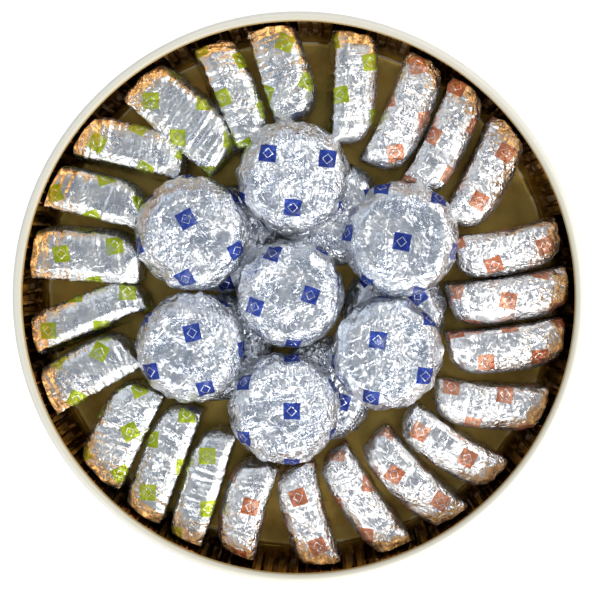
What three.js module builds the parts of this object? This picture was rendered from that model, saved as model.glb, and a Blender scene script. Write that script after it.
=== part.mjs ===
// An open round tin of wrapped maamoul, seen from above in use: a cream tin with a rolled rim, a
// pleated gold liner in it, and thirty-six biscuits in foil. Twelve are round and lie flat in two
// layers in the middle, five below and seven above. Twenty-four are loaf-shaped and stand on a long
// edge around them, twelve printed in green and twelve in copper.
// Millimetres, +Z up, the tin's foot on z = 0 and the tin's axis on the origin.
import * as THREE from "three";

// Tin
const TIN_RADIUS = 140;
const TIN_HEIGHT = 50;
const SHEET = 0.5;
const CURL_RADIUS = 2.4;
const CURL_TURN = 240;
const FOOT_WIDTH = 2.4;
const FOOT_HEIGHT = 1.2;
const TIN_SIDES = 64;

// Gold liner
const LINER_SHEET = 0.4;
const LINER_GAP = 0.4;
const LINER_FLOOR_RADIUS = 133;
const LINER_TOP = TIN_HEIGHT - 6.2;
const PLEATS = 64;
const PLEAT_DEPTH = 0.7;

// Levels that the biscuits lie on
const CLEARANCE = 0.25;
const LINER_LEVEL = FOOT_HEIGHT + SHEET + LINER_GAP + LINER_SHEET;
const DISC_HEIGHT = 20;
const LOWER_LEVEL = LINER_LEVEL + CLEARANCE;
const UPPER_LEVEL = LOWER_LEVEL + DISC_HEIGHT + CLEARANCE;

// Round biscuits: where each lies, its radius, and how far it tips and to which side (degrees)
const DISC_SIDES = 18;
const UNEVENNESS = 0.007;
const UPPER_DISCS = [
  { name: "disc_top_0", x: -4.0, y: 1.4, radius: 26.6, tip: 0.6, toward: 200 },
  { name: "disc_top_1", x: -3.0, y: 59.6, radius: 27.5, tip: 1.5, toward: 95 },
  { name: "disc_top_2", x: 49.8, y: 28.4, radius: 28.1, tip: 1.8, toward: 330 },
  { name: "disc_top_3", x: 43.8, y: -28.6, radius: 27.6, tip: 1.2, toward: 250 },
  { name: "disc_top_4", x: -7.2, y: -56.0, radius: 27.5, tip: 1.6, toward: 270 },
  { name: "disc_top_5", x: -53.4, y: -25.8, radius: 27.2, tip: 1.4, toward: 190 },
  { name: "disc_top_6", x: -52.2, y: 31.6, radius: 28.1, tip: 1.7, toward: 120 },
];
const LOWER_DISCS = [
  { name: "disc_low_1", x: 16.4, y: 43.2, radius: 26.8, tip: 0, toward: 0 },
  { name: "disc_low_2", x: 48.8, y: -7.9, radius: 26.7, tip: 0, toward: 0 },
  { name: "disc_low_3", x: 12.8, y: -47.6, radius: 26.7, tip: 0, toward: 0 },
  { name: "disc_low_4", x: -37.3, y: 29.8, radius: 27.2, tip: 0, toward: 0 },
  { name: "disc_low_5", x: -40.9, y: -26.4, radius: 27.2, tip: 0, toward: 0 },
];

// Loaves: the polar place of the outer end of the base's upper edge, the heading of that edge, the
// lean of the top (positive leans clockwise, so that the flat base shows), and the size from above
const LOAF_WIDTH = 31;
const GREEN_LOAVES = [
  { bearing: 101.0, reach: 134.9, heading: 107.2, lean: -2, length: 48, depth: 25.0 },
  { bearing: 112.2, reach: 132.2, heading: 113.4, lean: 9, length: 52, depth: 21.0 },
  { bearing: 131.8, reach: 131.6, heading: 138.6, lean: -8, length: 53, depth: 23.6 },
  { bearing: 147.2, reach: 133.4, heading: 167.0, lean: 6, length: 53, depth: 20.2 },
  { bearing: 160.2, reach: 135.3, heading: 166.4, lean: -2, length: 48, depth: 23.0 },
  { bearing: 176.0, reach: 134.2, heading: 176.7, lean: -6, length: 53, depth: 24.5 },
  { bearing: 191.6, reach: 133.2, heading: 202.5, lean: 8, length: 58, depth: 20.5 },
  { bearing: 206.1, reach: 135.0, heading: 209.7, lean: -3, length: 48, depth: 23.5 },
  { bearing: 227.2, reach: 132.6, heading: 244.6, lean: -3, length: 52, depth: 24.0 },
  { bearing: 238.8, reach: 135.2, heading: 249.4, lean: 0, length: 60, depth: 22.0 },
  { bearing: 249.0, reach: 135.7, heading: 253.1, lean: 1, length: 59, depth: 20.0 },
  { bearing: 81.7, reach: 134.4, heading: 87.5, lean: 9, length: 54, depth: 21.5 },
];
const COPPER_LOAVES = [
  { bearing: 66.0, reach: 134.8, heading: 66.2, lean: 2, length: 57, depth: 22.5 },
  { bearing: 55.1, reach: 134.0, heading: 64.3, lean: 1, length: 56, depth: 21.0 },
  { bearing: 43.4, reach: 133.0, heading: 63.8, lean: 0, length: 54, depth: 22.0 },
  { bearing: 17.7, reach: 134.8, heading: 11.4, lean: 0, length: 51, depth: 22.5 },
  { bearing: 6.9, reach: 134.6, heading: 8.9, lean: 1, length: 58, depth: 22.5 },
  { bearing: 355.9, reach: 133.0, heading: 7.7, lean: 0, length: 57, depth: 22.5 },
  { bearing: 340.5, reach: 134.0, heading: 355.4, lean: -1, length: 55, depth: 22.5 },
  { bearing: 322.1, reach: 133.4, heading: 327.4, lean: 0, length: 53, depth: 20.5 },
  { bearing: 309.2, reach: 135.4, heading: 315.9, lean: 1, length: 56, depth: 21.5 },
  { bearing: 295.3, reach: 135.2, heading: 304.6, lean: 0, length: 57, depth: 20.5 },
  { bearing: 279.3, reach: 135.4, heading: 285.5, lean: -1, length: 51, depth: 21.5 },
  { bearing: 260.6, reach: 135.4, heading: 255.6, lean: 1, length: 48, depth: 22.0 },
];

const part = new THREE.Group();

function add(name, geometry, material) {
  const mesh = new THREE.Mesh(geometry, material);
  mesh.name = name;
  part.add(mesh);
  return mesh;
}

const surface = (color, roughness, metalness) =>
  new THREE.MeshStandardMaterial({ color, roughness, metalness });

const radians = THREE.MathUtils.degToRad;

// A closed surface through rings of points, with a fan over its first and last ring.
// The rings run round anticlockwise as seen from the last one.
function shell(rings) {
  const around = rings[0].length;
  const first = around * rings.length;
  const last = first + 1;
  const middle = (ring) =>
    ring.reduce((sum, p) => sum.add(p), new THREE.Vector3()).divideScalar(around);
  const points = [...rings.flat(), middle(rings[0]), middle(rings.at(-1))];
  const index = [];
  for (let ring = 0; ring + 1 < rings.length; ring += 1) {
    for (let i = 0; i < around; i += 1) {
      const a = ring * around + i;
      const b = ring * around + ((i + 1) % around);
      index.push(a, b, b + around, a, b + around, a + around);
    }
  }
  const top = around * (rings.length - 1);
  for (let i = 0; i < around; i += 1) {
    const next = (i + 1) % around;
    index.push(first, next, i, last, top + i, top + next);
  }
  const geometry = new THREE.BufferGeometry().setFromPoints(points);
  geometry.setIndex(index);
  return geometry;
}

// Lowers or lifts a placed mesh until its lowest point is at this height.
function settle(mesh, level) {
  mesh.updateMatrixWorld(true);
  const box = new THREE.Box3().setFromObject(mesh, true);
  mesh.position.z += level - box.min.z;
}

// The tin is one turned sheet: a floor raised on a seamed foot, an upright wall, and a top edge
// rolled inwards, which leaves the wall's outside free for the lid's skirt.
function tinGeometry() {
  const wall = TIN_RADIUS - SHEET;
  const curlCentre = new THREE.Vector2(TIN_RADIUS - CURL_RADIUS, TIN_HEIGHT - CURL_RADIUS);
  const profile = [
    new THREE.Vector2(0, FOOT_HEIGHT),
    new THREE.Vector2(TIN_RADIUS - FOOT_WIDTH, FOOT_HEIGHT),
    new THREE.Vector2(TIN_RADIUS - FOOT_WIDTH + 0.6, 0),
    new THREE.Vector2(TIN_RADIUS - 0.5, 0),
    new THREE.Vector2(TIN_RADIUS, 0.6),
  ];
  const curlSteps = 8;
  for (let step = 0; step <= curlSteps; step += 1) {
    const angle = radians(CURL_TURN * (step / curlSteps));
    profile.push(
      new THREE.Vector2(Math.cos(angle), Math.sin(angle))
        .multiplyScalar(CURL_RADIUS)
        .add(curlCentre),
    );
  }
  profile.push(
    new THREE.Vector2(wall, TIN_HEIGHT - 2 * CURL_RADIUS - 0.8),
    new THREE.Vector2(wall, FOOT_HEIGHT + SHEET),
    new THREE.Vector2(0, FOOT_HEIGHT + SHEET),
  );
  const geometry = new THREE.LatheGeometry(profile, TIN_SIDES);
  return geometry.rotateX(Math.PI / 2);
}

// The liner is a disc of gold card with its pleated border turned up: it leans out from the crease
// and then stands against the tin's wall.
function linerGeometry() {
  const outside = TIN_RADIUS - SHEET - LINER_GAP;
  const level = FOOT_HEIGHT + SHEET + LINER_GAP;
  const rise = LINER_TOP - level;
  const wall = [
    { radius: LINER_FLOOR_RADIUS, height: level, pleat: 0 },
    { radius: outside - PLEAT_DEPTH - 1.2, height: level + 0.16 * rise, pleat: 1 },
    { radius: outside - PLEAT_DEPTH - 0.4, height: level + 0.5 * rise, pleat: 1 },
    { radius: outside - PLEAT_DEPTH, height: LINER_TOP, pleat: 1 },
  ];
  const ring = ({ radius, height, pleat }, inset) => {
    const points = [];
    for (let i = 0; i < 2 * PLEATS; i += 1) {
      const angle = (Math.PI * i) / PLEATS;
      const r = radius - inset + (i % 2) * pleat * PLEAT_DEPTH;
      points.push(new THREE.Vector3(r * Math.cos(angle), r * Math.sin(angle), height));
    }
    return points;
  };
  const rings = wall.map((place) => ring(place, 0));
  const inner = wall.toReversed().map((place) => ring(place, LINER_SHEET));
  inner.at(-1).forEach((point) => (point.z += LINER_SHEET));
  return shell([...rings, ...inner]);
}

// A round biscuit is widest a little above its flat bottom, slopes in over a broad shoulder, and
// has an almost flat top. The wrapping makes its outline slightly uneven.
function discGeometry(radius, phase) {
  const profile = [
    { radius: radius - 4.5, height: 0 },
    { radius: radius - 0.6, height: 0.17 * DISC_HEIGHT },
    { radius, height: 0.42 * DISC_HEIGHT },
    { radius: radius - 2.2, height: 0.74 * DISC_HEIGHT },
    { radius: 0.72 * radius, height: DISC_HEIGHT - 0.3 },
    { radius: 0.5 * radius, height: DISC_HEIGHT },
  ];
  const rings = profile.map((place) => {
    const points = [];
    for (let i = 0; i < DISC_SIDES; i += 1) {
      const angle = (2 * Math.PI * i) / DISC_SIDES;
      const r = place.radius * (1 - UNEVENNESS + UNEVENNESS * Math.sin(3 * angle + phase));
      points.push(new THREE.Vector3(r * Math.cos(angle), r * Math.sin(angle), place.height));
    }
    return points;
  });
  return shell(rings);
}

// A loaf has a flat rectangular base and a domed back. Its base is the plane y = 0 with the back
// towards -Y, and the base's upper edge runs along X from the origin, its outer end, to -X. The
// outline rises steeply at both ends, and the section is square-shouldered. A bow bends the whole
// loaf towards its back.
function loafGeometry({ length, depth, square, shoulder, endDepth, bow }) {
  const stations = [-1, -0.9, -0.62, 0, 0.62, 0.9, 1];
  const backSteps = 8;
  const edge = 1.6;
  const rings = stations.map((t) => {
    const back = endDepth + (1 - endDepth) * (1 - Math.abs(t) ** shoulder) ** (1 / 2);
    const half = (LOAF_WIDTH / 2) * (1 - 0.34 * Math.abs(t) ** 7);
    const swing = bow * (1 - t * t);
    const x = ((t - 1) * length) / 2;
    const section = [
      [0, edge - half],
      [0, half - edge],
    ];
    for (let step = 0; step <= backSteps; step += 1) {
      const angle = (Math.PI * step) / backSteps;
      const across = Math.sign(Math.cos(angle)) * Math.abs(Math.cos(angle)) ** (2 / square);
      const out = Math.sin(angle) ** (2 / square);
      section.push([-edge - (depth * back - edge) * out, half * across]);
    }
    return section.map(([y, z]) => new THREE.Vector3(x, y - swing, z - LOAF_WIDTH / 2));
  });
  return shell(rings);
}

function addDisc(disc, level, phase, material) {
  const mesh = add(disc.name, discGeometry(disc.radius, phase), material);
  const side = radians(disc.toward);
  const axis = new THREE.Vector3(-Math.sin(side), Math.cos(side), 0);
  mesh.quaternion.setFromAxisAngle(axis, radians(disc.tip));
  mesh.position.set(disc.x, disc.y, 0);
  settle(mesh, level);
}

function addLoaf(name, loaf, form, material) {
  const geometry = loafGeometry({ ...form, length: loaf.length, depth: loaf.depth });
  const mesh = add(name, geometry, material);
  mesh.rotation.set(radians(loaf.lean), 0, radians(loaf.heading), "ZXY");
  const bearing = radians(loaf.bearing);
  mesh.position.set(loaf.reach * Math.cos(bearing), loaf.reach * Math.sin(bearing), 0);
  settle(mesh, LOWER_LEVEL);
}

const enamel = surface(0xe9e6da, 0.35, 0.1);
const goldCard = surface(0x9c7a2e, 0.25, 0.9);
const foil = surface(0xcfd3da, 0.35, 0.9);
const greenFoil = surface(0xc6cdb8, 0.35, 0.9);
const copperFoil = surface(0xd2c6c0, 0.35, 0.9);

add("box", tinGeometry(), enamel);
add("tray", linerGeometry(), goldCard);

LOWER_DISCS.forEach((disc, i) => addDisc(disc, LOWER_LEVEL, 1.3 * i, foil));
UPPER_DISCS.forEach((disc, i) => addDisc(disc, UPPER_LEVEL, 0.9 * i, foil));

const GREEN_FORM = { square: 4.5, shoulder: 3.2, endDepth: 0.3, bow: 0 };
const COPPER_FORM = { square: 3.2, shoulder: 4.5, endDepth: 0.4, bow: 1.6 };
const number = (i) => String(i + 1).padStart(2, "0");
GREEN_LOAVES.forEach((loaf, i) => {
  addLoaf(`green_piece_${number(i)}`, loaf, GREEN_FORM, greenFoil);
});
COPPER_LOAVES.forEach((loaf, i) => {
  addLoaf(`copper_piece_${number(i)}`, loaf, COPPER_FORM, copperFoil);
});

export default part;
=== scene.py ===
import math
import random

import bpy
import numpy as np
from mathutils import Euler, Matrix, Vector


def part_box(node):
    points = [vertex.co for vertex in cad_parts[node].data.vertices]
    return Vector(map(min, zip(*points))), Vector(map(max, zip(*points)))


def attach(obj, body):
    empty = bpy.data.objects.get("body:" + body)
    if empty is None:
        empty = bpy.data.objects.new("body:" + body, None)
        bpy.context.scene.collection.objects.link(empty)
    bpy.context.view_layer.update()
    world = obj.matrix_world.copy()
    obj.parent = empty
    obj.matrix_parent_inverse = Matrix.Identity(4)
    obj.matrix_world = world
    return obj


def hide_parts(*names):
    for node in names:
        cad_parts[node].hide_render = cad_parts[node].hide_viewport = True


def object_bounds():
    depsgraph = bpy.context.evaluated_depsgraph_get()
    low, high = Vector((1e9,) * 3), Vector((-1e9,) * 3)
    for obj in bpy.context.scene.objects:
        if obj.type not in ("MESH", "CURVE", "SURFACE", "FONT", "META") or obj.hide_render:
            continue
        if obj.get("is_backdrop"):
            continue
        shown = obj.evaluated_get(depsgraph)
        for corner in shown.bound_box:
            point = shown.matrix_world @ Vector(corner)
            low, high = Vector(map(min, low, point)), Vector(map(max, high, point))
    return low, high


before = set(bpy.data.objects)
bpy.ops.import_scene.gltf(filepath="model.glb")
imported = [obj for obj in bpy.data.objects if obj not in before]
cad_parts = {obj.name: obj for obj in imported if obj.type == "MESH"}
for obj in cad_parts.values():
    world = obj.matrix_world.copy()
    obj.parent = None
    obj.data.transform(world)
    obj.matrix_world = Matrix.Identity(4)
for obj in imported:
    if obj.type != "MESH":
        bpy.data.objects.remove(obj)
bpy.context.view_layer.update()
MM = 0.001


# ---- Camera -------------------------------------------------------------------------------
# The tin is seen from straight above, a few degrees off its axis towards its upper right side,
# from a little over half a metre away.
CAMERA_PLACE = Vector((16, 31, 650)) * MM
CAMERA_AIM = Vector((1.5, 0.3, 50)) * MM
CAMERA_LENS = 74.0
CAMERA_FILM = 36

camera = bpy.data.objects.new("camera", bpy.data.cameras.new("camera"))
bpy.context.scene.collection.objects.link(camera)
bpy.context.scene.camera = camera
camera.data.lens = CAMERA_LENS
camera.data.sensor_width = CAMERA_FILM
forward = (CAMERA_AIM - CAMERA_PLACE).normalized()
right = forward.cross(Vector((0, 1, 0))).normalized()
camera.matrix_world = Matrix.Translation(CAMERA_PLACE) @ Matrix(
    (right, right.cross(forward), -forward)
).transposed().to_4x4()


# ---- Tin ----------------------------------------------------------------------------------
# A round biscuit tin drawn from thin tinplate and enamelled cream inside and out. The floor is
# raised on a seamed foot, and the top edge is rolled inwards so that a lid's skirt slides over.
TIN_RADIUS = 140 * MM
TIN_HEIGHT = 50 * MM
TIN_SHEET = 0.5 * MM
CURL_RADIUS = 2.4 * MM
CURL_MIDDLE = TIN_RADIUS - CURL_RADIUS
CURL_TURN = math.radians(270)
CURL_STEPS = 18
FOOT_HEIGHT = 1.2 * MM
FOOT_WIDTH = 2.4 * MM
TIN_STEPS = 240


def pick_all(action):
    bpy.ops.mesh.select_all(action=action)


def choose(piece):
    """Makes this the only selected object, and the active one."""
    bpy.ops.object.select_all(action="DESELECT")
    piece.select_set(True)
    bpy.context.view_layer.objects.active = piece


def edit(piece):
    choose(piece)
    bpy.ops.object.mode_set(mode="EDIT")


def finish_edit():
    bpy.ops.object.mode_set(mode="OBJECT")


def drawn_line(name, points):
    """A new mesh of one open line through these points, drawn by extruding a single vertex."""
    bpy.ops.object.select_all(action="DESELECT")
    bpy.ops.mesh.primitive_plane_add(size=MM)
    piece = bpy.context.object
    piece.name = piece.data.name = name
    edit(piece)
    bpy.ops.mesh.merge(type="CENTER")
    bpy.ops.transform.translate(value=points[0])
    for start, end in zip(points, points[1:]):
        bpy.ops.mesh.extrude_vertices_move(TRANSFORM_OT_translate={"value": end - start})
    return piece


def turned(name, outline, steps):
    """A line of (radius, height) points spun round the Z axis into a closed surface."""
    piece = drawn_line(name, [Vector((radius, 0, height)) for radius, height in outline])
    pick_all("SELECT")
    bpy.ops.mesh.spin(steps=steps, angle=math.tau, center=(0, 0, 0), axis=(0, 0, 1))
    pick_all("SELECT")
    bpy.ops.mesh.remove_doubles(threshold=0.01 * MM)
    bpy.ops.mesh.normals_make_consistent(inside=False)
    finish_edit()
    return piece


def modify(piece, kind, **settings):
    """Adds a modifier with these settings and applies it at once."""
    choose(piece)
    modifier = piece.modifiers.new(kind.lower(), kind)
    for setting, value in settings.items():
        setattr(modifier, setting, value)
    bpy.ops.object.modifier_apply(modifier=modifier.name)


def smooth(piece, angle):
    """Shades a piece smooth, apart from edges sharper than this angle in degrees."""
    choose(piece)
    bpy.ops.object.shade_smooth_by_angle(angle=math.radians(angle))


class Wire:
    """A socket of a material's nodes, on which sums are written as on numbers."""

    def __init__(self, paint, socket):
        self.paint = paint
        self.socket = socket

    def math(self, operation, *values):
        inputs = dict(enumerate(values))
        return self.paint.add("ShaderNodeMath", inputs, operation=operation)

    def __add__(self, other):
        return self.math("ADD", self, other)

    def __radd__(self, other):
        return self.math("ADD", other, self)

    def __sub__(self, other):
        return self.math("SUBTRACT", self, other)

    def __rsub__(self, other):
        return self.math("SUBTRACT", other, self)

    def __mul__(self, other):
        return self.math("MULTIPLY", self, other)

    def __rmul__(self, other):
        return self.math("MULTIPLY", other, self)

    def __truediv__(self, other):
        return self.math("DIVIDE", self, other)

    def absolute(self):
        return self.math("ABSOLUTE", self)

    def rounded(self):
        return self.math("ROUND", self)

    def at_least(self, other):
        return self.math("MAXIMUM", self, other)

    def ramp(self, low, high, to_low=0.0, to_high=1.0):
        """Follows a smooth step from to_low to to_high as this goes from low to high."""
        values = {0: self, 1: low, 2: high, 3: to_low, 4: to_high}
        return self.paint.add("ShaderNodeMapRange", values, interpolation_type="SMOOTHSTEP")

    def part(self, axis):
        """One of a vector's three numbers: 0, 1 or 2."""
        return self.paint.add("ShaderNodeSeparateXYZ", {0: self}, output=axis)

    def other(self, output):
        """Another output of the same node."""
        return Wire(self.paint, self.socket.node.outputs[output])

    def vector(self, operation, other, output="Vector"):
        inputs = {0: self, "Scale" if operation == "SCALE" else 1: other}
        return self.paint.add(
            "ShaderNodeVectorMath", inputs, output=output, operation=operation)

    def off_axis(self):
        """How far a place is from the tin's axis."""
        flat = self.vector("MULTIPLY", (1, 1, 0))
        return flat.vector("LENGTH", (0, 0, 0), output="Value")


class Paint:
    """A node material of one Principled surface, made by adding nodes to it."""

    def __init__(self, name, **surface):
        self.material = bpy.data.materials.new(name)
        self.material.use_nodes = True
        self.tree = self.material.node_tree
        self.shader = self.tree.nodes["Principled BSDF"]
        self.surface(**surface)

    def add(self, kind, inputs=None, output=0, **settings):
        """Adds a node: its settings first, then the values or wires of its inputs."""
        node = self.tree.nodes.new(kind)
        for setting, value in settings.items():
            setattr(node, setting, value)
        for name, value in (inputs or {}).items():
            self.feed(node.inputs[name], value)
        return Wire(self, node.outputs[output])

    def feed(self, socket, value):
        if isinstance(value, Wire):
            self.tree.links.new(value.socket, socket)
        else:
            socket.default_value = value

    def surface(self, **inputs):
        for name, value in inputs.items():
            self.feed(self.shader.inputs[name.replace("_", " ")], value)

    def place(self):
        """Object coordinates, in metres."""
        return self.add("ShaderNodeTexCoord", output="Object")

    def noise(self, place, scale, detail=2.0, roughness=0.5):
        inputs = {"Vector": place, "Scale": scale, "Detail": detail, "Roughness": roughness}
        return self.add("ShaderNodeTexNoise", inputs)

    def mix(self, factor, first, second):
        """Goes from the first colour to the second as the factor goes from 0 to 1."""
        inputs = {"Factor": factor, 6: first, 7: second}
        return self.add("ShaderNodeMix", inputs, output=2, data_type="RGBA")

    def bump(self, height, distance):
        return self.add("ShaderNodeBump", {"Height": height, "Distance": distance})


def tin_outline():
    """From the underside's middle over the foot, up the outside, round the curl and back in."""
    foot_inner = TIN_RADIUS - FOOT_WIDTH
    points = [
        (0, FOOT_HEIGHT),
        (foot_inner - 4 * MM, FOOT_HEIGHT),
        (foot_inner, FOOT_HEIGHT - 0.1 * MM),
        (foot_inner + 0.3 * MM, 0.3 * MM),
        (foot_inner + 0.9 * MM, 0),
        (TIN_RADIUS - 0.5 * MM, 0),
        (TIN_RADIUS + 0.1 * MM, 0.4 * MM),
        (TIN_RADIUS + 0.2 * MM, 1.4 * MM),
        (TIN_RADIUS + 0.1 * MM, 2.4 * MM),
        (TIN_RADIUS - 0.3 * MM, 2.8 * MM),
        (TIN_RADIUS - 0.05 * MM, 3.4 * MM),
    ]
    level = TIN_HEIGHT - CURL_RADIUS
    for step in range(CURL_STEPS + 1):
        angle = CURL_TURN * step / CURL_STEPS
        points.append((CURL_MIDDLE + CURL_RADIUS * math.cos(angle),
                       level + CURL_RADIUS * math.sin(angle)))
    wall = TIN_RADIUS - TIN_SHEET
    points += [
        (wall, TIN_HEIGHT - 2 * CURL_RADIUS - 0.4 * MM),
        (wall, FOOT_HEIGHT + TIN_SHEET + MM),
        (wall - MM, FOOT_HEIGHT + TIN_SHEET),
        (0, FOOT_HEIGHT + TIN_SHEET),
    ]
    return points


tin = turned("tin", tin_outline(), steps=TIN_STEPS)
smooth(tin, 50)

enamel = Paint("cream_enamel", Specular_IOR_Level=0.35)
here = enamel.place()
cloud = enamel.noise(here, 14.0, detail=3.0)
speck = enamel.noise(here, 900.0)
from_axis = here.off_axis()
cream = enamel.mix(cloud.ramp(0.3, 0.7), (0.81, 0.77, 0.655, 1), (0.86, 0.82, 0.715, 1))
# The inner half of the curl, which turns down into the tin, is painted darker: painted shade on
# the cream enamel.
cream_with_painted_shade = enamel.mix(from_axis.ramp(CURL_MIDDLE - 0.5 * MM, CURL_MIDDLE + 0.4 * MM),
                    (0.72, 0.68, 0.55, 1), cream)
# Everywhere nearer the axis than the curl's inner edge, the enamel turns warm gold-brown; from
# above this shows only as a thin gold line along that edge.
beyond_gold_edge = from_axis.ramp(CURL_MIDDLE - 2.15 * MM, CURL_MIDDLE - 1.9 * MM)
enamel.surface(
    Base_Color=enamel.mix(beyond_gold_edge, (0.50, 0.33, 0.12, 1), cream_with_painted_shade),
    Roughness=speck.ramp(0.3, 0.7, 0.42, 0.55),
    Normal=enamel.bump(enamel.noise(here, 420.0), 0.02 * MM),
)
tin.data.materials.append(enamel.material)
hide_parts("box")
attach(tin, "root")


# ---- Liner --------------------------------------------------------------------------------
# A disc of card laminated with mirror gold, whose border is pleated and turned up to line the
# tin's wall. It is only pushed in: the crease rounds its floor, and the pleats spring outwards.
LINER_FLOOR_RADIUS = 133 * MM
LINER_SHEET = 0.3 * MM
PLEATS = 150
PLEAT_DEPTH = 0.9 * MM
STEPS_PER_PLEAT = 4
FOLD_HALF_WIDTH = 0.1
PLEAT_START = 2 * MM

liner_low, liner_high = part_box("tray")
liner_level = liner_low.z + 0.4 * MM
liner_wall = liner_high.x - 0.35 * MM


def pick_points(piece, wanted):
    """Selects the vertices whose place passes a test, in an object that isn't being edited."""
    piece.data.polygons.foreach_set("select", [False] * len(piece.data.polygons))
    piece.data.edges.foreach_set("select", [False] * len(piece.data.edges))
    chosen = [wanted(vertex.co) for vertex in piece.data.vertices]
    piece.data.vertices.foreach_set("select", chosen)


def clouds(name, size, depth=2):
    texture = bpy.data.textures.new(name, "CLOUDS")
    texture.noise_scale = size
    texture.noise_depth = depth
    return texture


def liner_outline():
    rise = liner_high.z - liner_level
    edge = LINER_FLOOR_RADIUS
    points = [(0, liner_level)]
    points += [(edge * share, liner_level) for share in (0.3, 0.6, 0.8, 0.92)]
    points += [
        (edge - 2.8 * MM, liner_level),
        (edge - 2.0 * MM, liner_level + 0.40 * MM),
        (edge - 1.3 * MM, liner_level + 0.62 * MM),
        (edge - 0.6 * MM, liner_level + 0.50 * MM),
        (edge + 0.1 * MM, liner_level + 0.18 * MM),
        (edge + 0.6 * MM, liner_level + 0.5 * MM),
        (edge + 1.4 * MM, liner_level + 2.2 * MM),
        (edge + 2.6 * MM, liner_level + 4.6 * MM),
        (liner_wall - 1.6 * MM, liner_level + 0.2 * rise),
        (liner_wall - 1.0 * MM, liner_level + 0.35 * rise),
        (liner_wall - 0.7 * MM, liner_level + 0.55 * rise),
        (liner_wall - 0.4 * MM, liner_level + 0.75 * rise),
        (liner_wall, liner_level + rise),
    ]
    return points


liner = turned("liner", liner_outline(), steps=STEPS_PER_PLEAT * PLEATS)
fold_share = 1 - PLEAT_DEPTH / liner_wall
pleat_angle = math.tau / PLEATS


def on_inner_fold(place):
    """Whether a place is on the line halfway along its pleat, outside the crease."""
    along = (math.atan2(place.y, place.x) / pleat_angle) % 1.0
    in_border = math.hypot(place.x, place.y) > LINER_FLOOR_RADIUS + PLEAT_START
    return in_border and abs(along - 0.5) < FOLD_HALF_WIDTH


pick_points(liner, on_inner_fold)
edit(liner)
bpy.ops.transform.resize(value=(fold_share, fold_share, 1), center_override=(0, 0, 0))
finish_edit()
in_wall = liner.vertex_groups.new(name="wall")
raised = [v.index for v in liner.data.vertices if v.co.z > liner_level + PLEAT_START]
in_wall.add(raised, 1.0, "REPLACE")
modify(liner, "DISPLACE", texture=clouds("card_waves", 16 * MM), texture_coords="LOCAL",
       strength=1.0 * MM, mid_level=0.5, vertex_group="wall", direction="NORMAL")
modify(liner, "DISPLACE", texture=clouds("floor_waves", 40 * MM), texture_coords="LOCAL",
       strength=0.2 * MM, mid_level=0.5, direction="Z")
modify(liner, "SOLIDIFY", thickness=LINER_SHEET, offset=-1)
smooth(liner, 28)

gold = Paint("gold_laminate")
here = gold.place()
tarnish = gold.noise(here, 30.0, detail=4.0, roughness=0.6)
height = here.part(2)
lift = height.ramp(liner_level + MM, liner_level + 9 * MM)
sheet_gold = gold.mix(tarnish.ramp(0.3, 0.7), (0.28, 0.18, 0.04, 1), (0.58, 0.39, 0.10, 1))
from_axis = here.off_axis()
# A thin pale, less metallic line along the floor's crease, broken into lengths: a painted
# highlight where the crease catches the light.
off_crease = (from_axis - (LINER_FLOOR_RADIUS - 1.2 * MM)).absolute()
crease_painted_glint = off_crease.ramp(0.35 * MM, 0.7 * MM, 1.0, 0.0) * tarnish.ramp(0.46, 0.54)
floor_gold = gold.mix(crease_painted_glint, sheet_gold, (0.95, 0.90, 0.66, 1))
# The wall's gold is painted by height: dark brown low down as painted shade, and a brighter
# orange gold higher up as painted light.
lit_gold = gold.mix(tarnish.ramp(0.35, 0.65), (0.76, 0.36, 0.10, 1), (0.98, 0.54, 0.18, 1))
wall_gold_painted_shade = gold.mix(height.ramp(24 * MM, 38 * MM), (0.22, 0.10, 0.03, 1), lit_gold)
waves = gold.noise(here, 60.0) * (0.5 * MM)
ripples = gold.noise(here, 200.0) * (0.05 * MM)
upright = here.vector("MULTIPLY", (1, 1, 0.12))
streaks = gold.noise(upright, 150.0) * (1.0 * MM)
grain = gold.noise(here, 900.0)
gold.surface(
    Base_Color=gold.mix(lift, floor_gold, wall_gold_painted_shade),
    Metallic=1.0 - crease_painted_glint * 0.7,
    Roughness=grain.ramp(0.3, 0.7, 0.06, 0.12) + (1.0 - lift) * 0.32,
    Normal=gold.bump((waves + ripples) * (1.0 - lift) + streaks * lift, 1.0),
)
liner.data.materials.append(gold.material)
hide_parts("tray")
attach(liner, "root")


# ---- Foil ---------------------------------------------------------------------------------
# Every biscuit is wrapped in soft aluminium foil, bright side out, pressed on by hand so that
# it takes a net of sharp little creases. Small squares are printed on it in staggered rows.
PRINT_SIDE = 8.3 * MM
PRINT_BLUR = 0.15 * MM
DIAMOND_REACH = 2.4 * MM


def printed_squares(paint, here, pitch, spacing):
    """The share of ink: 1 in the squares, 0 on bare foil and in the thin diamond left inside
    each. Pitch is the step along a row, spacing the step from row to row."""
    print_map = paint.add("ShaderNodeUVMap", uv_map="print")
    wobble = paint.noise(here, 300.0, detail=1.0) - 0.5
    u = print_map.part(0) + wobble * (0.8 * MM)
    v = print_map.part(1) - wobble * (0.6 * MM)
    row = (v / spacing).rounded()
    odd = row.math("FLOORED_MODULO", row, 2.0)
    shifted = u - odd * (pitch / 2)
    across = (shifted - (shifted / pitch).rounded() * pitch).absolute()
    along = (v - row * spacing).absolute()
    edge = across.at_least(along)
    square = edge.ramp(PRINT_SIDE / 2 - PRINT_BLUR, PRINT_SIDE / 2 + PRINT_BLUR, 1.0, 0.0)
    diamond = ((across + along) - DIAMOND_REACH).absolute()
    line = diamond.ramp(0.12 * MM, 0.30 * MM, 1.0, 0.0)
    return square * (1.0 - line)


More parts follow.
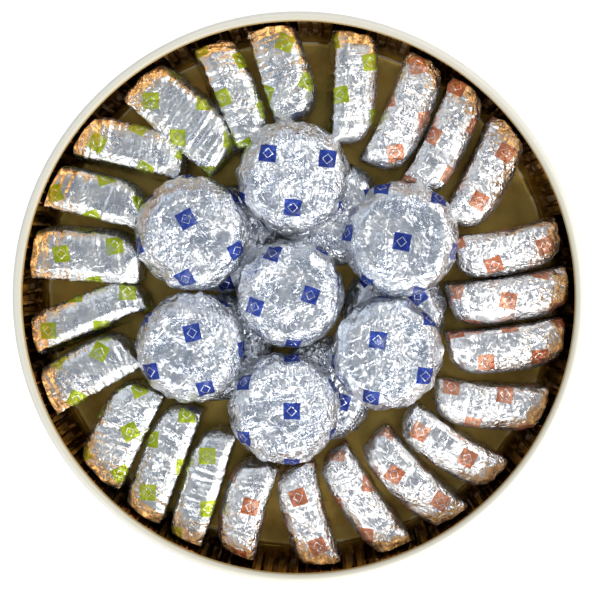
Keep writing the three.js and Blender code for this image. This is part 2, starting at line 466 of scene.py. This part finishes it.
def foil(name, crush, pitch, spacing, bare, ink, ink_metal):
    """Crush says how deep the creases are pressed, pitch and spacing where the squares are
    printed. Bare and ink give two tones each, and ink_metal says how metallic the ink is."""
    paint = Paint(name)
    here = paint.place()
    folded = paint.add("ShaderNodeAttribute", output="Fac", attribute_name="folded")
    taut = paint.add("ShaderNodeAttribute", output="Fac", attribute_name="taut")
    drift = paint.noise(here, 150.0).other("Color").vector("SCALE", 3 * MM)
    bent = here.vector("ADD", drift)

    def flat_facets(scale, tilt):
        """Flat cells with a tilt of their own each, which meet in sharp creases."""
        cell = paint.add("ShaderNodeTexVoronoi", {"Vector": bent, "Scale": scale}, feature="F1")
        lean = cell.other("Color").vector("SUBTRACT", (0.5, 0.5, 0.5)).vector("SCALE", tilt)
        across = bent.vector("SUBTRACT", cell.other("Position"))
        return lean.vector("DOT_PRODUCT", across, output="Value")

    def creases(turn, stretch, scale, width):
        """Straight thin grooves that mostly run one way: 0 in a groove and 1 beside it."""
        inputs = {"Vector": bent, "Rotation": (0.4, 0.3, math.radians(turn)),
                  "Scale": (stretch, 1.0, 1.0)}
        along = paint.add("ShaderNodeMapping", inputs, vector_type="TEXTURE")
        cell = paint.add("ShaderNodeTexVoronoi", {"Vector": along, "Scale": scale},
                         feature="DISTANCE_TO_EDGE")
        return cell.ramp(0.0, width)

    patches = paint.noise(here, 85.0)
    where = paint.noise(here, 75.0, detail=1.0).other("Color")
    dull = paint.noise(here, 120.0, detail=3.0)
    fine = paint.noise(bent, 1100.0, roughness=0.6)
    pressed = paint.noise(here, 40.0, detail=1.0).ramp(0.38, 0.56, 0.4, 1.15)
    network = (
        flat_facets(260.0, 0.14)
        + flat_facets(600.0, 0.35)
        + paint.noise(bent, 380.0, detail=1.0) * (0.3 * MM)
        + creases(20, 3.0, 200.0, 0.15) * where.part(0).ramp(0.42, 0.58) * (0.17 * MM)
        + creases(80, 3.0, 230.0, 0.15) * where.part(1).ramp(0.42, 0.58) * (0.17 * MM)
        + creases(140, 3.0, 260.0, 0.15) * where.part(2).ramp(0.40, 0.55) * (0.17 * MM)
        + creases(110, 2.0, 520.0, 0.2) * (0.5 + folded) * (0.11 * MM)
    )
    broad = paint.noise(here, 115.0, detail=1.0) * (0.65 * MM)
    relief = (network * pressed + broad) * crush * (1.0 - taut * 0.75) + fine * (0.012 * MM)
    ink_share = printed_squares(paint, here, pitch, spacing) * dull.ramp(0.25, 0.5, 0.72, 1.0)
    paint.surface(
        Base_Color=paint.mix(ink_share, paint.mix(dull.ramp(0.35, 0.65), *bare),
                             paint.mix(patches.ramp(0.35, 0.65), *ink)),
        Metallic=1.0 - ink_share * (1.0 - ink_metal),
        Roughness=dull.ramp(0.35, 0.7, 0.26, 0.34) + ink_share * 0.1 - taut * 0.16,
        Normal=paint.bump(relief, 1.0),
    )
    return paint.material


blue_foil = foil(
    "foil_blue_print", 1.35, 29 * MM, 25.1 * MM,
    bare=((0.73, 0.77, 0.84, 1), (0.85, 0.86, 0.87, 1)),
    ink=((0.012, 0.034, 0.26, 1), (0.03, 0.07, 0.38, 1)), ink_metal=0.5)
green_foil = foil(
    "foil_green_print", 0.75, 27 * MM, 18 * MM,
    bare=((0.80, 0.82, 0.84, 1), (0.90, 0.90, 0.87, 1)),
    ink=((0.34, 0.43, 0.006, 1), (0.50, 0.58, 0.05, 1)), ink_metal=0.6)
copper_foil = foil(
    "foil_copper_print", 1.1, 27 * MM, 18 * MM,
    bare=((0.85, 0.85, 0.86, 1), (0.95, 0.94, 0.92, 1)),
    ink=((0.52, 0.17, 0.08, 1), (0.74, 0.38, 0.25, 1)), ink_metal=0.75)


def facets(name, size, metric):
    """Flat-sided crumples: the distance to scattered points, measured along the axes."""
    texture = bpy.data.textures.new(name, "VORONOI")
    texture.distance_metric = metric
    texture.noise_scale = size
    return texture


broad_crumple = facets("crumple_broad", 9 * MM, "MANHATTAN")
close_crumple = facets("crumple_close", 3.6 * MM, "CHEBYCHEV")
fold_crumple = facets("crumple_folds", 6.5 * MM, "MANHATTAN")
sag = clouds("foil_sag", 18 * MM)
FOIL_VOXEL = 0.8 * MM
FOIL_SHARP_ANGLE = 60


def crumpled(piece, loose, broad, close, folds):
    """Presses the foil's creases into a placed piece. Each piece meets them where it lies."""
    layers = [(sag, loose, 0.5, ""), (fold_crumple, folds, 0.55, "folds"),
              (broad_crumple, broad, 0.5, ""), (close_crumple, close, 0.45, "")]
    for texture, strength, middle, group in layers:
        if not group and "soft" in piece.vertex_groups:
            group = "soft"
        modify(piece, "DISPLACE", texture=texture, texture_coords="LOCAL", strength=strength,
               mid_level=middle, direction="NORMAL", vertex_group=group)
    smooth(piece, FOIL_SHARP_ANGLE)


# ---- Round pieces -------------------------------------------------------------------------
# Twelve round biscuits pressed in a mould: flat on top, with a broad sloping shoulder, and a
# shallow ring round the middle. The foil is gathered up the side. Five lie below seven.
DISC_RADIUS = 27.5 * MM
DISC_HEIGHT = 20 * MM
DISC_BASE = DISC_RADIUS - 6 * MM
DISC_SHOULDER = 0.70 * DISC_RADIUS
DISC_PLEATS = 34
GATHER_START = 0.76
GATHER_SHARE = 0.3
FOIL_LOOSENESS = 1.015
DISC_CREASES = (1.2 * MM, 0.8 * MM, 0.3 * MM, 1.2 * MM)


def fitted(piece, low, high):
    """Stretches a mesh until it fills exactly the box between these two corners."""
    corners = [Vector(corner) for corner in piece.bound_box]
    start, end = corners[0], corners[6]
    spans = [(b - a) / (d - c) for a, b, c, d in zip(low, high, start, end)]
    piece.data.transform(Matrix.Translation(low) @ Matrix.Diagonal((*spans, 1)) @
                         Matrix.Translation(-start))


def marked(piece, attribute, weight):
    """Writes a share from 0 to 1 at each point as an attribute, and returns the shares."""
    shares = [min(1.0, max(0.0, weight(vertex.co))) for vertex in piece.data.vertices]
    layer = piece.data.attributes.new(attribute, "FLOAT", "POINT")
    layer.data.foreach_set("value", shares)
    return shares


def grouped(piece, name, shares):
    group = piece.vertex_groups.new(name=name)
    for index, share in enumerate(shares):
        group.add([index], share, "REPLACE")


def wrap_print(piece, flatten):
    """Gives a piece its print map: flatten says where its foil lies in the flat sheet."""
    mesh = piece.data
    places = np.empty(3 * len(mesh.vertices))
    mesh.vertices.foreach_get("co", places)
    flat = flatten(*places.reshape(-1, 3).T)
    corners = np.empty(len(mesh.loops), dtype=np.int32)
    mesh.loops.foreach_get("vertex_index", corners)
    layer = mesh.uv_layers.new(name="print")
    layer.data.foreach_set("uv", np.stack(flat, axis=1)[corners].ravel())


def copied(master, name, turn, shift, stretch=(1, 1)):
    """A copy with its own mesh. Its print map is stretched as the copy will be, so that the
    squares keep their size, then shifted and turned."""
    piece = master.copy()
    piece.data = master.data.copy()
    piece.name = piece.data.name = name
    bpy.context.scene.collection.objects.link(piece)
    data = piece.data.uv_layers["print"].data
    flat = np.empty(2 * len(data))
    data.foreach_get("uv", flat)
    u, v = flat.reshape(-1, 2).T
    u, v = u * stretch[0] - shift[0] * MM, v * stretch[1] - shift[1] * MM
    cos, sin = math.cos(math.radians(turn)), math.sin(math.radians(turn))
    data.foreach_set("uv", np.stack((cos * u + sin * v, cos * v - sin * u), axis=1).ravel())
    return piece


def lowest(piece):
    return min(vertex.co.z for vertex in piece.data.vertices)


def disc_model():
    """Its rings are (radius, height) as shares of the disc's, from the base over the top."""
    bpy.ops.object.select_all(action="DESELECT")
    bpy.ops.mesh.primitive_circle_add(
        vertices=2 * DISC_PLEATS, radius=DISC_BASE, fill_type="NGON")
    piece = bpy.context.object
    piece.name = "disc_model"
    edit(piece)
    pick_all("SELECT")
    now, level = DISC_BASE, 0.0
    rings = [(0.91, 0.02), (0.97, 0.12), (1.0, 0.26), (1.0, 0.42), (0.98, 0.58),
             (0.94, 0.72), (0.87, 0.86), (0.79, 0.95), (0.73, 0.985), (0.67, 1.0),
             (0.62, 0.995), (0.57, 0.978), (0.51, 0.978), (0.47, 0.992), (0.3, 1.0)]
    for radius, height in rings:
        radius, height = radius * DISC_RADIUS, height * DISC_HEIGHT
        bpy.ops.mesh.extrude_region_move(
            TRANSFORM_OT_translate={"value": (0, 0, height - level)})
        share = radius / now
        bpy.ops.transform.resize(value=(share, share, 1), center_override=(0, 0, 0))
        now, level = radius, height
    pick_all("SELECT")
    bpy.ops.mesh.normals_make_consistent(inside=False)
    finish_edit()
    return piece


def disc_flat(x, y, z):
    """The foil runs straight out over the top and on down the side."""
    across = np.hypot(x, y)
    beyond = np.maximum(across - DISC_SHOULDER, 0)
    run = across + (np.hypot(beyond, DISC_HEIGHT - z) - beyond) * (across > DISC_SHOULDER)
    share = run / np.maximum(across, 1e-6)
    return x * share, y * share


disc = disc_model()
gathers = random.Random(5)
for depth in (0.975, 0.97, 0.985):
    columns = {column for column in range(2 * DISC_PLEATS)
               if gathers.random() < GATHER_SHARE}

    def in_gather(place):
        column = round(math.atan2(place.y, place.x) / (math.pi / DISC_PLEATS))
        outside = math.hypot(place.x, place.y) > GATHER_START * DISC_RADIUS
        return outside and column % (2 * DISC_PLEATS) in columns

    pick_points(disc, in_gather)
    edit(disc)
    bpy.ops.transform.resize(value=(depth, depth, 1), center_override=(0, 0, 0))
    finish_edit()
modify(disc, "SUBSURF", levels=2, render_levels=2)
modify(disc, "REMESH", mode="VOXEL", voxel_size=FOIL_VOXEL)
fitted(disc, (-DISC_RADIUS, -DISC_RADIUS, 0), (DISC_RADIUS, DISC_RADIUS, DISC_HEIGHT))
grouped(disc, "folds", marked(disc, "folded", lambda place: (
    math.hypot(place.x, place.y) / DISC_RADIUS - 0.72) / 0.15))
wrap_print(disc, disc_flat)

# Where each lies comes from its part in model.glb. Here: how far it tips and to which side, the
# turn of its printed sheet, where one square lies from its middle, and how far it has slid from
# its place.
DISCS = {
    "disc_top_0": (0.6, 200, 72, (11.0, 0.0), (0.0, 1.2)),
    "disc_top_1": (3.0, 300, -5.5, (0.0, -15.0), (0.1, 1.7)),
    "disc_top_2": (4.0, 120, -10, (0.0, -2.0), (1.7, 1.2)),
    "disc_top_3": (3.0, 135, 83, (-4.2, 6.8), (0.9, 1.2)),
    "disc_top_4": (1.8, 130, 90, (4.5, 0.0), (0.4, 0.5)),
    "disc_top_5": (1.4, 190, -77, (2.5, 8.2), (-0.2, 1.4)),
    "disc_top_6": (3.2, 305, 28, (-1.7, 7.1), (-1.0, 1.6)),
    "disc_low_1": (0, 0, 15, (22.0, 9.0), (0, 0)),
    "disc_low_2": (0, 0, 40, (12.0, 9.0), (0, 0)),
    "disc_low_3": (0, 0, 75, (9.5, -6.0), (0, 0)),
    "disc_low_4": (0, 0, 20, (5.0, 5.0), (0, 0)),
    "disc_low_5": (0, 0, 50, (9.0, -4.0), (0, 0)),
}
for node, (tip, toward, turn, square, slid) in DISCS.items():
    low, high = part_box(node)
    piece = copied(disc, node + "_wrapped", turn, square)
    size = (high.x - low.x) / 2 / DISC_RADIUS * FOIL_LOOSENESS
    side = math.radians(toward)
    axis = Vector((-math.sin(side), math.cos(side), 0))
    middle = Vector(((low.x + high.x) / 2 + slid[0] * MM,
                     (low.y + high.y) / 2 + slid[1] * MM, 0))
    piece.data.transform(Matrix.Scale(size, 4, (1, 0, 0)) @ Matrix.Scale(size, 4, (0, 1, 0)))
    piece.data.transform(Matrix.Rotation(math.radians(tip), 4, axis))
    piece.data.transform(Matrix.Translation(middle))
    piece.data.transform(Matrix.Translation((0, 0, low.z - lowest(piece))))
    crumpled(piece, *DISC_CREASES)
    piece.data.materials.append(blue_foil)
    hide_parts(node)
    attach(piece, "root")
bpy.data.objects.remove(disc)


# ---- Loaves -------------------------------------------------------------------------------
# Twenty-four longer biscuits with a flat base and a domed back, stood on one long edge round
# the wall. Twelve come from a ridged mould and have firm ends, twelve are smooth and bowed.
LOAF_LENGTH = 56 * MM
LOAF_DEPTH = 22 * MM
LOAF_WIDTH = 31 * MM
LOAF_NARROWING = 0.26
LOAF_STATIONS = 26
BACK_STEPS = 12
CREASE_STRETCH = 16
GREEN_CREASES = (0.5 * MM, 0.3 * MM, 0.15 * MM, 1.3 * MM)
COPPER_CREASES = (0.7 * MM, 0.7 * MM, 0.3 * MM, 1.5 * MM)


def loaf_model(name, square, outer_end, inner_end, bow, edge):
    """Its base is the plane y = 0, and the base's upper edge runs from the origin along -X.
    Square says how full its back is, and edge gives the base's upper corner. Each end has the
    share of the depth that it keeps, and how late the back starts down to it."""
    half = LOAF_WIDTH / 2
    upper = [(y, half + drop) for y, drop in edge]
    inset = -edge[-1][0]
    for step in range(1, BACK_STEPS + 1):
        angle = math.pi / 2 * step / BACK_STEPS
        out = math.sin(angle) ** (2 / square)
        upper.append((-inset - (LOAF_DEPTH - inset) * out,
                      half * math.cos(angle) ** (2 / square)))
    lower = [(y, -z) for y, z in reversed(upper[:-1])]
    section = [Vector((0, y, z)) for y, z in upper + lower]

    def back(t):
        least, late = outer_end if t > 0 else inner_end
        return least + (1 - least) * max(0.0, 1 - abs(t) ** late) ** 0.5

    def width(t):
        return 1 - LOAF_NARROWING * abs(t) ** 7

    piece = drawn_line(name, section)
    pick_all("SELECT")
    bpy.ops.mesh.edge_face_add()
    pick_all("SELECT")
    bpy.ops.transform.resize(value=(1, back(1), width(1)), center_override=(0, 0, 0))
    bpy.ops.transform.translate(value=(0, 0, -half))
    last, swing = 1.0, 0.0
    for station in range(1, LOAF_STATIONS + 1):
        t = math.cos(math.pi * station / LOAF_STATIONS)
        new_swing = -bow * (1 - t * t)
        step = ((t - last) * LOAF_LENGTH / 2, new_swing - swing, 0)
        bpy.ops.mesh.extrude_region_move(TRANSFORM_OT_translate={"value": step})
        bpy.ops.transform.resize(value=(1, back(t) / back(last), width(t) / width(last)),
                                 center_override=(0, new_swing, -half))
        last, swing = t, new_swing
    pick_all("SELECT")
    bpy.ops.mesh.normals_make_consistent(inside=False)
    finish_edit()
    modify(piece, "REMESH", mode="VOXEL", voxel_size=FOIL_VOXEL)
    fitted(piece, (-LOAF_LENGTH, -LOAF_DEPTH - bow, -LOAF_WIDTH), (0, 0, 0))
    at_ends = marked(piece, "folded", lambda place: (
        abs(place.x * 2 / LOAF_LENGTH + 1) - 0.7) / 0.2)
    on_base = marked(piece, "taut", lambda place: min(
        1 + (place.y + 0.3 * MM) / (0.5 * MM), -(place.z + 2 * MM) / (2 * MM)))
    grouped(piece, "folds", at_ends)
    grouped(piece, "soft", [1 - 0.8 * share for share in on_base])
    wrap_print(piece, loaf_flat)
    return piece


def loaf_flat(x, y, z):
    """The foil lies flat on the upper side and turns down over the back and the base."""
    below = np.maximum(-z - 3 * MM, 0)
    back = y < -LOAF_DEPTH / 2
    v = np.where(back, y - below, y + below)
    return x, v


# The upper corner of each base, from the base inwards: how far in, and how far below the top.
CHAMFER = [(0, -3.6 * MM), (-0.3 * MM, -2.7 * MM), (-0.9 * MM, -2.0 * MM),
           (-2.4 * MM, -1.2 * MM), (-4.0 * MM, -0.4 * MM), (-5.2 * MM, 0)]
ROUNDING = [(0, -4.5 * MM), (-0.3 * MM, -3.2 * MM), (-1.0 * MM, -2.0 * MM),
            (-2.0 * MM, -1.0 * MM), (-3.2 * MM, -0.3 * MM), (-4.6 * MM, 0)]
ridged = loaf_model("ridged_model", 4.5, (0.68, 5.2), (0.45, 3.2), 0, CHAMFER)
plain = loaf_model("plain_model", 3.3, (0.50, 5.0), (0.50, 5.0), 1.6 * MM, ROUNDING)

# The foil is drawn tight across each loaf, so that most of its creases run from base to back.
# An empty carries the creases, stretched that way, and is moved on for each piece.
cross_creases = clouds("cross_creases", 3.6 * MM, depth=1)
cross_creases.noise_type = "HARD_NOISE"
crease_frame = bpy.data.objects.new("crease_frame", None)
bpy.context.scene.collection.objects.link(crease_frame)
crease_frame.scale = (1, CREASE_STRETCH, CREASE_STRETCH)


def creased_across(piece, number, strength):
    crease_frame.location = Vector((31, 57, 83)) * number * MM
    crease_frame.rotation_euler = (0, 0, math.radians(12 * math.sin(2.3 * number)))
    bpy.context.view_layer.update()
    modify(piece, "DISPLACE", texture=cross_creases, texture_coords="OBJECT",
           texture_coords_object=crease_frame, strength=strength, mid_level=0.35,
           direction="NORMAL")


# For each: the polar place of the outer end of the base's upper edge, the heading of that
# edge, the lean of the top, the length, how far the foil bulges past the outer end, and the
# depth, then the turn of its printed sheet and where one square lies from the outer end.
GREEN_LOAVES = [
    (101.0, 134.9, 107.2, -2, 48, 0.3, 25.0, -40, (-11, -17)),
    (112.2, 132.2, 113.4, 9, 52, 1.5, 22.0, 2, (-40, -21)),
    (131.8, 131.6, 138.6, -8, 56, 1.5, 28.0, 40, (-34, -5)),
    (147.2, 133.4, 167.0, 6, 53, 1, 23.4, -18, (-37, 0)),
    (160.2, 135.3, 166.4, -2, 48, 2.5, 23.0, 32, (-6, -8)),
    (176.0, 134.2, 176.7, -6, 53, 2.5, 26.3, 12, (-17, -14)),
    (191.6, 133.2, 202.5, 8, 58, 1.5, 20.5, -20, (-10, -8)),
    (206.1, 135.0, 209.7, -3, 48, 1.5, 25.0, 34, (-15, -25)),
    (227.2, 132.6, 244.6, -3, 52, 0.5, 26.5, -40, (-8, -3)),
    (238.8, 135.2, 249.4, 0, 60, 0, 22.0, 18, (-40, -20)),
    (249.0, 135.7, 253.1, 1, 59, 1, 20.0, 18, (-47, -11)),
    (81.7, 134.4, 87.5, 9, 54, 0.3, 23.0, 12, (-32, -3)),
]
COPPER_LOAVES = [
    (66.0, 134.8, 66.2, 2, 57, 0, 22.5, 34, (-5, -7)),
    (55.1, 134.0, 64.3, 1, 56, 0, 21.0, -2, (-3, -4)),
    (43.4, 133.0, 63.8, 0, 54, 0, 22.0, -2, (-41, -13)),
    (17.7, 134.8, 11.4, 0, 51, 0, 22.5, 10, (-8, -13)),
    (6.9, 134.6, 8.9, 1, 58, 0, 22.5, -20, (-12, 0)),
    (355.9, 133.0, 7.7, 0, 57, 0, 22.5, -2, (-41, -17)),
    (340.5, 134.0, 355.4, -1, 55, 0, 22.5, -4, (-49, -3)),
    (322.1, 133.4, 327.4, 0, 53, 0, 20.5, 4, (-45, -11)),
    (309.2, 135.4, 315.9, 1, 56, 0, 21.5, 14, (-38, -14)),
    (295.3, 135.2, 304.6, 0, 57, 0, 20.5, -40, (-36, -1)),
    (279.3, 135.4, 285.5, -1, 51, 0, 21.5, 6, (-38, -12)),
    (260.6, 135.4, 255.6, 1, 48, 0, 22.0, 0, (-27, -9)),
]


# How far out the liner's wall lets a piece reach, by height, and over how much the foil gives.
WALL_LEVELS = np.array((4, 8, 12, 16, 24, 44)) * MM
WALL_REACH = np.array((130.4, 134.2, 135.4, 136.0, 136.4, 137.0)) * MM
FOIL_GIVE = 1.2 * MM


def pressed_to_wall(piece):
    """Flattens what would reach into the liner's wall."""
    mesh = piece.data
    places = np.empty(3 * len(mesh.vertices))
    mesh.vertices.foreach_get("co", places)
    places = places.reshape(-1, 3)
    across = np.hypot(places[:, 0], places[:, 1])
    free = np.interp(places[:, 2], WALL_LEVELS, WALL_REACH) - FOIL_GIVE
    over = np.maximum(across - free, 0)
    kept = across - over + FOIL_GIVE * (1 - np.exp(-over / FOIL_GIVE))
    places[:, :2] *= (kept / across)[:, None]
    mesh.vertices.foreach_set("co", places.ravel())
    mesh.update()


def lay_loaves(kind, model, rows, material, ridges, creases):
    for number, row in enumerate(rows, start=1):
        bearing, reach, heading, lean, length, bulge, depth, turn, square = row
        node = f"{kind}_piece_{number:02d}"
        size = ((length + bulge) * MM / LOAF_LENGTH, depth * MM / LOAF_DEPTH, 1)
        piece = copied(model, node + "_wrapped", turn, square, size)
        creased_across(piece, number, ridges)
        stance = Euler((math.radians(lean), 0, math.radians(heading)), "XYZ").to_matrix()
        out = math.radians(bearing)
        place = Vector((math.cos(out), math.sin(out), 0)) * reach * MM
        piece.data.transform(
            Matrix.Translation((bulge * MM, 0, 0)) @ Matrix.Diagonal((*size, 1)))
        piece.data.transform(Matrix.Translation(place) @ stance.to_4x4())
        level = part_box(node)[0].z
        piece.data.transform(Matrix.Translation((0, 0, level - lowest(piece))))
        crumpled(piece, *creases)
        pressed_to_wall(piece)
        piece.data.materials.append(material)
        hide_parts(node)
        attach(piece, "root")
    bpy.data.objects.remove(model)


lay_loaves("green", ridged, GREEN_LOAVES, green_foil, 1.1 * MM, GREEN_CREASES)
lay_loaves("copper", plain, COPPER_LOAVES, copper_foil, 0.5 * MM, COPPER_CREASES)
bpy.data.objects.remove(crease_frame)


# ---- Floor and light ----------------------------------------------------------------------
# A plain pale table under four round softboxes, one above each corner and the brightest at the
# lower right, in a dim cool surround that darkens overhead and that the foil's facets pick up.
FLOOR_SIDE = 6
LIGHT_AIM = Vector((0, 0, 0.03))

bpy.ops.object.select_all(action="DESELECT")
bpy.ops.mesh.primitive_plane_add(size=FLOOR_SIDE)
floor = bpy.context.object
floor.name = "floor"
pale = Paint("pale_table", Roughness=0.8, Base_Color=(0.97, 0.96, 0.95, 1),
             Emission_Color=(1, 1, 1, 1), Emission_Strength=0.5)
floor.data.materials.append(pale.material)
floor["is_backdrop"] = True


def softbox(name, place, radiance, colour, size=0.9):
    """A round diffuser of this width in metres, which faces the tin."""
    light = bpy.data.lights.new(name, "AREA")
    light.shape = "DISK"
    light.size = size
    light.energy = radiance * math.pi * size * size
    light.color = colour
    lamp = bpy.data.objects.new(name, light)
    bpy.context.scene.collection.objects.link(lamp)
    lamp.location = place
    lamp.rotation_euler = (LIGHT_AIM - Vector(place)).to_track_quat("-Z", "Y").to_euler()
    lamp.visible_camera = False


softbox("box_lower_right", (0.58, -0.62, 0.68), 3.0, (1.0, 0.985, 0.96), size=0.95)
softbox("box_lower_left", (-0.50, -0.75, 0.80), 1.4, (1.0, 1.0, 1.0))
softbox("box_upper_right", (0.65, 0.60, 0.75), 1.5, (1.0, 0.97, 0.92))
softbox("box_upper_left", (-0.75, 0.60, 0.70), 0.5, (0.80, 0.90, 1.0))

world = bpy.data.worlds.new("surround")
bpy.context.scene.world = world
world.use_nodes = True
nodes, links = world.node_tree.nodes, world.node_tree.links
direction = nodes.new("ShaderNodeTexCoord")
upward = nodes.new("ShaderNodeSeparateXYZ")
links.new(direction.outputs["Generated"], upward.inputs[0])
sky = nodes.new("ShaderNodeValToRGB")
sky.color_ramp.interpolation = "EASE"
sky.color_ramp.elements[0].position = 0.75
sky.color_ramp.elements[0].color = (0.39, 0.42, 0.47, 1)
sky.color_ramp.elements[1].position = 0.97
sky.color_ramp.elements[1].color = (0.215, 0.245, 0.29, 1)
links.new(upward.outputs["Z"], sky.inputs["Fac"])
links.new(sky.outputs["Color"], nodes["Background"].inputs["Color"])
bpy.context.scene.view_settings.view_transform = "Standard"

low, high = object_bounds()
